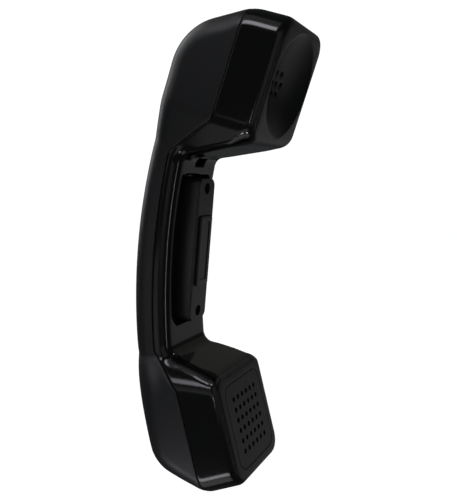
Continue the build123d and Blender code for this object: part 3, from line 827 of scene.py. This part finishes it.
def add_pocket(skin, path):
    """Pocket of the push-to-talk block, in from the handle's face to a flat floor."""
    ups = np.array([ptt.local(p)[0] for p in path])
    outs = np.array([ptt.local(p)[1] for p in path])
    rings = []
    for grow, drop in quarter_round(POCKET_RIM, 5):
        outline = pocket_outline(grow)
        rings.append([ptt.lift(y, v, np.interp(v, ups, outs) - drop) for y, v in outline])
    outline = pocket_outline(0.0)
    tops = [np.interp(v, ups, outs) - POCKET_RIM for _, v in outline]
    foot = POCKET_FLOOR + FLOOR_ROUND
    for share in (0.33, 0.66, 1.0):
        tall = zip(outline, tops)
        rings.append([ptt.lift(y, v, top + (foot - top) * share) for (y, v), top in tall])
    for rise, shrink in quarter_round(FLOOR_ROUND, 4)[1:]:
        small = pocket_outline(-shrink)
        rings.append([ptt.lift(y, v, POCKET_FLOOR + rise) for y, v in small])
    skin.closed_grid(rings)
    floor = pocket_outline(-FLOOR_ROUND)
    skin.patch(floor, [], lambda y, v, _: ptt.lift(y, v, POCKET_FLOOR))
    return pocket_outline(POCKET_RIM)


def end_section(rows, index, half):
    """One station's rounding from the middle to the side wall, and its straight half width."""
    return np.array([row[index] for row in rows]), half[index]


def shell_object(skin, name, seam_line):
    """A shell's skin as an object, rounded at the seam and given its wall inwards."""
    obj = skin.mesh(name)
    round_seam(obj, seam_line)
    solid = obj.modifiers.new("wall", "SOLIDIFY")
    solid.thickness = WALL * MM
    solid.offset = -1
    solid.use_rim = True
    return obj


def seam_stations(seam_line):
    """The outer path with stations where it crosses the seam, and both their indices."""
    path, first = split_path(outer_path, seam_line)
    path, second = split_path(path, seam_line, first + 5)
    return stations(path, (first, second))


def turn_to_seam(path, dirs, marks, line, reaches):
    """Directions turned along the seam at both of its crossings, each within a reach."""
    ends = (line[1] - line[0], line[-2] - line[-1])
    for mark, end, reach in zip(marks, ends, reaches):
        dirs = turn_towards(path, dirs, mark, unit(end), reach)
    return dirs


def outer_edge(path, dirs):
    """Rows of the long rounded edge behind a path, and half the flat width inside it."""
    radii = back_radius(path[:, 0], path[:, 1])
    half = half_width(path[:, 0], path[:, 1]) - radii
    return edge_rows(path, dirs, radii), half


def build_front():
    """The front shell: both faces, the handle's inside and the side walls up to the seam."""
    skin = Skin()
    path, (first, second) = seam_stations(seam_path)
    dirs = turn_towards(path, inward(path), 0, -ear.up)
    dirs = turn_to_seam(path, dirs, (first, second), seam_path, (7.0, 7.0))
    dirs = turn_towards(path, dirs, len(path) - 1, mic.up)
    rows, half = outer_edge(path, dirs)
    # The bands of the ear head's top and of the mouth head's chin
    for start, stop in ((0, first + 1), (second, len(path))):
        band_edges(skin, [row[start:stop] for row in rows])
        flat = zip(path[start:stop], half[start:stop])
        skin.grid([[(p[0], y, p[1]) for y in row_columns(h)] for p, h in flat])

    # The handle's inside, with its pocket and slot
    track, _ = stations(inner_path, (0,))
    turned = inward(track)
    turned = turn_towards(track, turned, 0, -mic.up, 5.0)
    turned = turn_towards(track, turned, len(track) - 1, ear.up, 5.0)
    tight = inner_radius(track[:, 0], track[:, 1])
    middle = half_width(track[:, 0], track[:, 1]) - tight
    inner_rows = edge_rows(track, turned, tight)
    band_edges(skin, inner_rows)

    handle = track[(track[:, 1] > HANDLE_LOW) & (track[:, 1] < HANDLE_HIGH)]
    pocket = add_pocket(skin, handle)
    found = band_middle(
        skin,
        track,
        middle,
        [
            (pocket, pocket_outline(POCKET_RIM + SUPPORT), lambda p: ptt.local(p)[0]),
            (slot_outline(SLOT_RIM), slot_outline(SLOT_RIM + SUPPORT), lambda p: p[1]),
        ],
    )
    slot_walls = [found[1]]
    for grow, drop in SLOT_WALL:
        ring = zip(found[1], slot_outline(grow))
        slot_walls.append([(edge[0] - drop, y, z) for edge, (y, z) in ring])
    skin.closed_grid(slot_walls)

    # Side walls
    on_path, on_inner = rows[-1][:, [0, 2]], inner_rows[-1][:, [0, 2]]
    top_edge, low_edge = on_path[: first + 1], on_path[second:]
    seam_run = clip_between(seam_path, top_edge[-1], low_edge[0])
    ear_side = side_line(on_inner[-1], on_path[0])[1:-1]
    mic_side = side_line(on_path[-1], on_inner[0])[1:-1]
    outline = np.vstack([top_edge, seam_run, low_edge, mic_side, on_inner, ear_side])
    side_walls(skin, outline, seam_run)

    # Faces
    last = len(track) - 1
    loop = face_loop(
        ear,
        end_section(rows, 0, half),
        end_section(inner_rows, last, middle),
        unit(path[0] - path[1]),
        unit(track[-1] - track[-2]),
    )
    face_cap(skin, ear, loop, [add_dish(skin)])
    loop = face_loop(
        mic,
        end_section(inner_rows, 0, middle),
        end_section(rows, len(path) - 1, half),
        unit(track[0] - track[1]),
        unit(path[-1] - path[-2]),
    )
    around = grille_outline(GRILLE_RIM + SUPPORT)
    face_cap(skin, mic, loop, [add_recess(skin)], [around + around[:1]])
    return shell_object(skin, "front_shell_skin", seam_path)


def clip_between(line, a, b):
    """The points of a line strictly between two points that lie on it, from a to b."""
    length = run_length(line)

    def place(p):
        """How far along the line a point lies."""
        spots = []
        for i in range(len(line) - 1):
            d = line[i + 1] - line[i]
            t = float(np.clip((p - line[i]) @ d / (d @ d), 0, 1))
            at = length[i] + t * (length[i + 1] - length[i])
            spots.append((np.linalg.norm(line[i] + d * t - p), at))
        return min(spots)[1]

    start, stop = place(a) + SEAM_CLEAR, place(b) - SEAM_CLEAR
    return np.array([p for p, at in zip(line, length) if start < at < stop])


def build_rear():
    """The rear shell: the back, the side walls up to the seam and the socket's opening."""
    skin = Skin()
    seam_line = offset_line(seam_path, -SEAM_GAP)
    path, (first, second) = seam_stations(seam_line)
    dirs = turn_to_seam(path, inward(path), (first, second), seam_line, (12.0, 16.0))
    rows, half = outer_edge(path, dirs)
    path, half = path[first : second + 1], half[first : second + 1]
    rows = [row[first : second + 1] for row in rows]
    band_edges(skin, rows)

    def along_bottom(p):
        """X on the underside of the mouth head, and far below any X elsewhere."""
        return p[0] if p[1] < UNDERSIDE_Z else -1000 - p[1]

    jack = (jack_outline(JACK_RIM), jack_outline(JACK_RIM + SUPPORT), along_bottom)
    found = band_middle(skin, path, half, [jack])
    walls = [found[0]]
    for grow, drop in JACK_WALL:
        ring = zip(found[0], jack_outline(grow))
        walls.append([(x, y, edge[2] + drop) for edge, (y, x) in ring])
    skin.closed_grid(walls)
    on_path = rows[-1][:, [0, 2]]
    seam_run = clip_between(seam_line, on_path[0], on_path[-1])[::-1]
    side_walls(skin, np.vstack([on_path, seam_run]), seam_run)
    return shell_object(skin, "rear_shell_skin", seam_line)


front = build_front()
rear = build_rear()
for shell, node in ((front, "front_shell"), (rear, "rear_shell")):
    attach(shell, "handset")
    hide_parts(node)


# Springs under the push bar --------------

SPRING_UP = 13.0
SPRING_RADIUS = 2.2
SPRING_WIRE = 0.25
SPRING_FOOT = -9.77
SPRING_HEIGHT = 6.74
SPRING_TURNS = 4.5
SPRING_RINGS = 127


def build_springs():
    """The two coil springs that press the bar out, as tubes along a helix."""
    skin = Skin()
    for up in (-SPRING_UP, SPRING_UP):
        rings = []
        for share in np.linspace(0, 1, SPRING_RINGS):
            turn = 2 * math.pi * SPRING_TURNS * share
            level = SPRING_FOOT + SPRING_WIRE + share * (SPRING_HEIGHT - 2 * SPRING_WIRE)
            ring = []
            for out, far in circle(SPRING_WIRE, 8):
                reach = SPRING_RADIUS + far
                place = (reach * math.sin(turn), up + reach * math.cos(turn), level + out)
                ring.append(ptt.lift(*place))
            rings.append(ring)
        skin.closed_grid(rings)
    springs = skin.mesh("bar_springs_coils")
    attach(springs, "handset")
    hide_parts("bar_springs")
    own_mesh(springs)
    return springs


springs = build_springs()


# Materials -------------------------------


class Surface:
    """A procedural material with a principled shader and short calls for its nodes."""

    def __init__(self, name, **values):
        self.material = bpy.data.materials.new(name)
        self.material.use_nodes = True
        self.tree = self.material.node_tree
        self.shader = self.tree.nodes["Principled BSDF"]
        self.coords = self.tree.nodes.new("ShaderNodeTexCoord").outputs["Object"]
        for socket, value in values.items():
            self.shader.inputs[socket.replace("_", " ")].default_value = value

    def link(self, source, target):
        self.tree.links.new(source, target)

    def node(self, kind, **settings):
        made = self.tree.nodes.new("ShaderNode" + kind)
        for key, value in settings.items():
            if key in made.inputs:
                made.inputs[key].default_value = value
            else:
                setattr(made, key, value)
        return made

    def noise(self, scale, detail=3.0, rough=0.55, stretch=(1, 1, 1)):
        made = self.node("TexNoise", Scale=scale, Detail=detail, Roughness=rough)
        place = self.node("Mapping")
        place.inputs["Scale"].default_value = stretch
        self.link(self.coords, place.inputs["Vector"])
        self.link(place.outputs["Vector"], made.inputs["Vector"])
        return made.outputs["Fac"]

    def math(self, operation, a, b):
        made = self.node("Math", operation=operation)
        self.link(a, made.inputs[0])
        self.link(b, made.inputs[1])
        return made.outputs["Value"]

    def above(self, plane, level):
        """1 in front of a level of a face's plane, on that face's half of the handset, else 0.

        The level is in millimetres.
        """
        made = self.node("VectorMath", operation="DOT_PRODUCT")
        made.inputs[1].default_value = (plane.out[0], 0, plane.out[1])
        self.link(self.coords, made.inputs[0])
        at = (plane.origin @ plane.out + level) * MM
        front = self.ramp(made.outputs["Value"], at - 0.0003, at + 0.0003, 0, 1)
        split = self.node("SeparateXYZ")
        self.link(self.coords, split.inputs[0])
        side = (1, 0) if plane is mic else (0, 1)
        middle = MIDDLE_Z * MM
        near = self.ramp(split.outputs["Z"], middle - MM, middle + MM, *side)
        return self.math("MULTIPLY", front, near)

    def wave(self, direction, scale):
        made = self.node("TexWave", bands_direction=direction, Scale=scale)
        self.link(self.coords, made.inputs["Vector"])
        return made.outputs["Fac"]

    def ramp(self, source, low, high, to_low, to_high):
        """A value mapped from one range to another, and held at its ends."""
        ends = {"From Min": low, "From Max": high, "To Min": to_low, "To Max": to_high}
        made = self.node("MapRange", **ends)
        self.link(source, made.inputs["Value"])
        return made.outputs["Result"]

    def tint(self, source, dark, light):
        made = self.node("ValToRGB")
        made.color_ramp.elements[0].color = (*dark, 1)
        made.color_ramp.elements[1].color = (*light, 1)
        self.link(source, made.inputs["Fac"])
        self.link(made.outputs["Color"], self.shader.inputs["Base Color"])

    def rough(self, source):
        self.link(source, self.shader.inputs["Roughness"])

    def bump(self, source, strength, distance):
        made = self.node("Bump", Strength=strength, Distance=distance)
        self.link(source, made.inputs["Height"])
        last = self.shader.inputs["Normal"]
        if last.is_linked:
            self.link(last.links[0].from_socket, made.inputs["Normal"])
        self.link(made.outputs["Normal"], last)


def moulded(name, dark, light, roughness, grain, grain_scale):
    """Moulded plastic: faint mottling of colour and gloss, and a fine grain."""
    made = Surface(name)
    made.tint(made.noise(60, 5), dark, light)
    made.rough(made.ramp(made.noise(900, 5), 0.3, 0.7, roughness * 0.93, roughness * 1.07))
    made.bump(made.noise(grain_scale, 2, 0.7), grain, 0.00012)
    return made.material


def metal(name, dark, light, roughness, streaks=(1, 1, 1), scale=900):
    """Bare metal with fine streaks, which run along the smallest of the three scales."""
    made = Surface(name, Metallic=1.0)
    lines = made.noise(scale, 4, 0.6, streaks)
    made.tint(lines, dark, light)
    made.rough(made.ramp(lines, 0.3, 0.7, roughness * 0.75, roughness * 1.25))
    made.bump(lines, 0.15, 0.00008)
    return made.material


def woven(name, dark, light, thread):
    """Plain weave: two crossed waves, with one over the other by turns."""
    made = Surface(name, Roughness=0.85)
    across = made.wave("Y", thread)
    along = made.wave("Z", thread)
    threads = made.math("MAXIMUM", across, along)
    made.tint(threads, dark, light)
    made.bump(threads, 0.7, 0.0002)
    return made.material


def foamed(name, dark, light, cells):
    """Open-cell foam."""
    made = Surface(name, Roughness=0.95)
    cell = made.node("TexVoronoi", Scale=cells)
    made.link(made.coords, cell.inputs["Vector"])
    made.tint(cell.outputs["Distance"], dark, light)
    made.bump(cell.outputs["Distance"], 0.8, 0.0004)
    return made.material


def board(name):
    """Circuit board: green mask with the glass weave and copper tracks showing through."""
    made = Surface(name, Roughness=0.35)
    tracks = made.node("TexBrick", Scale=260.0, **{"Mortar Size": 0.06})
    colours = {"Color1": (0.004, 0.05, 0.018), "Color2": (0.005, 0.062, 0.022)}
    for socket, colour in (*colours.items(), ("Mortar", (0.02, 0.13, 0.05))):
        tracks.inputs[socket].default_value = (*colour, 1)
    made.link(made.coords, tracks.inputs["Vector"])
    made.link(tracks.outputs["Color"], made.shader.inputs["Base Color"])
    made.bump(tracks.outputs["Fac"], 0.4, 0.0001)
    made.bump(made.noise(1800, 2), 0.2, 0.00008)
    return made.material


def shell_front():
    """Polished black, with the two faces and the ear dish in a fine matt grain."""
    made = Surface("gloss_black")
    made.tint(made.noise(60, 5), (0.004, 0.0042, 0.004), (0.0055, 0.0056, 0.0052))
    faces = [made.above(plane, -1.3) for plane in (ear, mic)]
    dish = made.node("VectorMath", operation="DISTANCE")
    dish.inputs[1].default_value = Vector(ear.lift(0, 0, -2.0)) * MM
    made.link(made.coords, dish.inputs[0])
    faces.append(made.ramp(dish.outputs["Value"], 0.0237, 0.0231, 0, 1))
    matt = faces[0]
    for other in faces[1:]:
        matt = made.math("MAXIMUM", matt, other)
    speckle = made.ramp(made.noise(900, 5), 0.3, 0.7, -0.012, 0.012)
    made.rough(made.math("ADD", made.ramp(matt, 0, 1, 0.13, 0.34), speckle))
    made.bump(made.noise(1500, 2, 0.7), 0.05, 0.00012)
    grain = made.math("MULTIPLY", made.noise(2600, 2, 0.7), matt)
    made.bump(grain, 0.3, 0.00012)
    return made.material


looks = {
    "front_shell": shell_front(),
    "rear_shell": moulded(
        "satin_black", (0.0098, 0.0102, 0.0112), (0.0125, 0.0129, 0.0141), 0.4, 0.16, 2400
    ),
    "grille": moulded(
        "grained_black", (0.0085, 0.0086, 0.0082), (0.0115, 0.0116, 0.011), 0.38, 0.45, 2600
    ),
    "ptt_plastic": moulded(
        "block_black", (0.017, 0.0175, 0.017), (0.022, 0.0225, 0.022), 0.36, 0.2, 2200
    ),
    "ptt_bar": moulded(
        "bar_black", (0.008, 0.0082, 0.008), (0.0105, 0.0107, 0.0102), 0.24, 0.12, 2200
    ),
    "inner_plastic": moulded(
        "inner_black", (0.011, 0.011, 0.011), (0.017, 0.017, 0.017), 0.5, 0.2, 1800
    ),
    "switch_plastic": moulded(
        "switch_blue", (0.012, 0.02, 0.05), (0.018, 0.028, 0.065), 0.4, 0.15, 2200
    ),
    "lead_insulation": moulded(
        "lead_grey", (0.16, 0.165, 0.17), (0.2, 0.205, 0.21), 0.45, 0.1, 3000
    ),
    "cloth": woven("black_cloth", (0.003, 0.003, 0.003), (0.016, 0.016, 0.016), 620),
    "foam": foamed("grey_foam", (0.012, 0.012, 0.013), (0.075, 0.075, 0.078), 1100),
    "aluminium": metal("spun_aluminium", (0.66, 0.67, 0.68), (0.8, 0.8, 0.81), 0.3, (0.15, 1, 1)),
    "magnet": metal("magnet_grey", (0.09, 0.09, 0.095), (0.14, 0.14, 0.145), 0.5),
    "spring_metal": metal(
        "spring_steel", (0.46, 0.47, 0.49), (0.62, 0.63, 0.65), 0.22, (1, 1, 0.2)
    ),
    "brass": metal("brass", (0.66, 0.46, 0.16), (0.82, 0.6, 0.26), 0.26),
    "screws": metal("dark_zinc", (0.05, 0.05, 0.052), (0.1, 0.1, 0.105), 0.34),
    "weight": metal("cast_steel", (0.16, 0.155, 0.15), (0.27, 0.265, 0.26), 0.55, (1, 1, 1), 300),
    "board": board("green_board"),
}


def paint(obj, material):
    obj.data.materials.clear()
    obj.data.materials.append(material)
    for face in obj.data.polygons:
        face.material_index = 0


slot_of = {row["node"]: row["material_slot"] for row in frame["record"]["subparts"]}
for name, obj in frame["nodes"].items():
    paint(obj, looks[slot_of[name]])
paint(front, looks["front_shell"])
paint(rear, looks["rear_shell"])
paint(springs, looks["spring_metal"])

# Stage -----------------------------------

scene = bpy.context.scene
scene.view_settings.view_transform = "Standard"
scene.view_settings.look = "None"

world = bpy.data.worlds.new("studio")
scene.world = world
world.use_nodes = True
world.node_tree.nodes["Background"].inputs["Color"].default_value = (0.92, 0.97, 1.0, 1)
world.node_tree.nodes["Background"].inputs["Strength"].default_value = 0.045

# The floor lies just under the handset
FLOOR_Z = round(cad_box[0][2] - 0.0002, 4)
FLOOR_RADIUS = 4.2
DOME_RADIUS = 4.0
DOME_SIDES = 48
DOME_BANDS = 12


def stage_piece(name, verts, faces, material):
    """A piece of the stage, which the object's gloss doesn't mirror."""
    mesh = bpy.data.meshes.new(name)
    mesh.from_pydata(verts, [], faces)
    shade_smooth(mesh)
    obj = bpy.data.objects.new(name, mesh)
    scene.collection.objects.link(obj)
    obj.visible_glossy = False
    obj.visible_shadow = False
    obj.visible_diffuse = False
    paint(obj, material)


def glowing(name, roughness, grey, strength):
    """A surface without gloss that gives its own white light."""
    made = Surface(
        name,
        Roughness=roughness,
        Base_Color=(grey, grey, grey, 1),
        Specular_IOR_Level=0.0,
        Emission_Color=(1, 1, 1, 1),
        Emission_Strength=strength,
    )
    return made.material


def build_stage():
    """A pale round floor under a pale dome."""
    ring = circle(1.0, DOME_SIDES)
    rim = [(FLOOR_RADIUS * y, FLOOR_RADIUS * x, FLOOR_Z) for y, x in ring]
    stage_piece("floor", rim, [list(range(DOME_SIDES))], glowing("pale_floor", 0.9, 0.3, 1.0))
    verts, faces = [], []
    for i in range(DOME_BANDS + 1):
        height = math.radians(-90 + 180 * i / DOME_BANDS)
        reach, z = DOME_RADIUS * math.cos(height), DOME_RADIUS * math.sin(height)
        verts += [(x * reach, y * reach, z) for x, y in ring]
    for i in range(DOME_BANDS):
        low, high = DOME_SIDES * i, DOME_SIDES * (i + 1)
        for k in range(DOME_SIDES):
            n = (k + 1) % DOME_SIDES
            faces.append((low + k, low + n, high + n, high + k))
    stage_piece("dome", verts, faces, glowing("pale_dome", 1.0, 0.0, 1.08))


build_stage()


# Places on the handset that the lights are aimed at, in metres
HANDSET = (0.0, 0.0, -0.045)
EAR_TOP = (0.025, -0.02, 0.055)
EAR_FLARE = (0.02, -0.024, 0.012)
MIC_FLARE = (0.008, -0.024, -0.097)
GRIP_EDGE = (-0.002, -0.02, -0.045)
MIC_CHIN = (0.012, -0.02, -0.145)
EAR_EDGE = (0.0365, -0.0255, 0.02)
MIC_EDGE = (0.0207, -0.0255, -0.111)
EAR_CORNER = (0.0342, -0.0249, 0.0115)
MIC_SHOULDER = (-0.0053, -0.0171, -0.0871)

WHITE = (1.0, 1.0, 1.0)
LILAC = (0.93, 0.92, 1.0)
COOL = (0.95, 0.97, 1.0)
WARM = (1.0, 0.97, 0.88)


def softbox(
    name, azimuth, elevation, size, radiance, colour=WHITE, far=1.3, about=HANDSET, spread=180
):
    """An area light aimed at a point of the handset, from a direction in degrees."""
    az, el = math.radians(azimuth), math.radians(elevation)
    place = Vector((math.cos(az) * math.cos(el), math.sin(az) * math.cos(el), math.sin(el)))
    data = bpy.data.lights.new(name, "AREA")
    data.shape = "RECTANGLE"
    data.size, data.size_y = size
    # A narrow spread gathers the same power into its middle
    half = math.radians(spread) / 2
    gather = math.tan(half) / (math.tan(half) - half) if spread < 180 else 1
    data.energy = radiance * math.pi * size[0] * size[1] / gather
    data.color = colour
    data.spread = math.radians(spread)
    obj = bpy.data.objects.new(name, data)
    scene.collection.objects.link(obj)
    obj.location = Vector(about) + place * far
    obj.rotation_euler = (-place).to_track_quat("-Z", "Y").to_euler()
    obj.visible_camera = False


# Strips and glints that the glossy shell mirrors, each kept off the other surfaces
softbox("ear_strip", -106, 40, (0.2, 0.13), 6.0, LILAC, 0.45, EAR_TOP, 70)
softbox("window_glow", -112, 62, (1.0, 0.7), 0.32, COOL)
softbox("mic_strip", -113, 17, (0.14, 0.075), 4.0, LILAC, 0.3, MIC_FLARE, 36)
softbox("chin_strip", -115, -34, (0.13, 0.035), 4.4, LILAC, 0.16, MIC_CHIN, 70)
softbox("chin_glow", -117, -58, (0.12, 0.1), 0.7, WHITE, 0.16, MIC_CHIN, 90)
softbox("flare_glow", -112, -26, (0.2, 0.1), 0.5, WHITE, 0.3, EAR_FLARE, 70)
softbox("edge_strip", -16, -14, (0.008, 0.18), 12.0, WARM, 0.35, GRIP_EDGE, 44)
softbox("ear_glint", -95, -3, (0.004, 0.009), 40.0, WHITE, 0.2, EAR_EDGE, 30)
softbox("mic_glint", -88, -9, (0.004, 0.006), 60.0, WHITE, 0.2, MIC_EDGE, 30)
softbox("corner_glint", -113, -45, (0.014, 0.016), 30.0, WHITE, 0.15, EAR_CORNER, 40)
softbox("shoulder_glint", 35, 46, (0.02, 0.02), 12.0, WHITE, 0.2, MIC_SHOULDER, 30)
# Wide weak lights: over the faces, along the back, and for the sides away from the camera
softbox("right_low", 62, -20, (1.5, 0.7), 0.16, (1.0, 1.0, 0.96))
softbox("right_high", 75, 24, (1.6, 0.6), 0.06, (1.0, 1.0, 0.86))
softbox("back_edge", 170, 21, (0.5, 0.9), 2.0, (0.95, 0.96, 1.0))
softbox("fill", -62, 8, (0.9, 0.9), 0.2)
softbox("rear_key", 165, 44, (0.7, 0.5), 1.2)
softbox("rear_strip", 205, 38, (0.3, 1.0), 1.5)
softbox("rear_wall", 90, 3, (0.36, 0.36), 1.2, WHITE, 0.6, HANDSET, 26)


# Camera ----------------------------------

CAMERA_PLACE = (0.13555, -0.27388, -0.00793)
CAMERA_AZIMUTH, CAMERA_PITCH = 23.864, 6.135
LENS = 47.02
camera = bpy.data.objects.new("camera", bpy.data.cameras.new("camera"))
scene.collection.objects.link(camera)
camera.data.lens = LENS
camera.data.sensor_width = 36.0
camera.data.sensor_fit = "AUTO"
camera.data.clip_start = 0.01
camera.location = CAMERA_PLACE
camera.rotation_euler = (math.radians(90 - CAMERA_PITCH), 0, math.radians(CAMERA_AZIMUTH))
scene.camera = camera
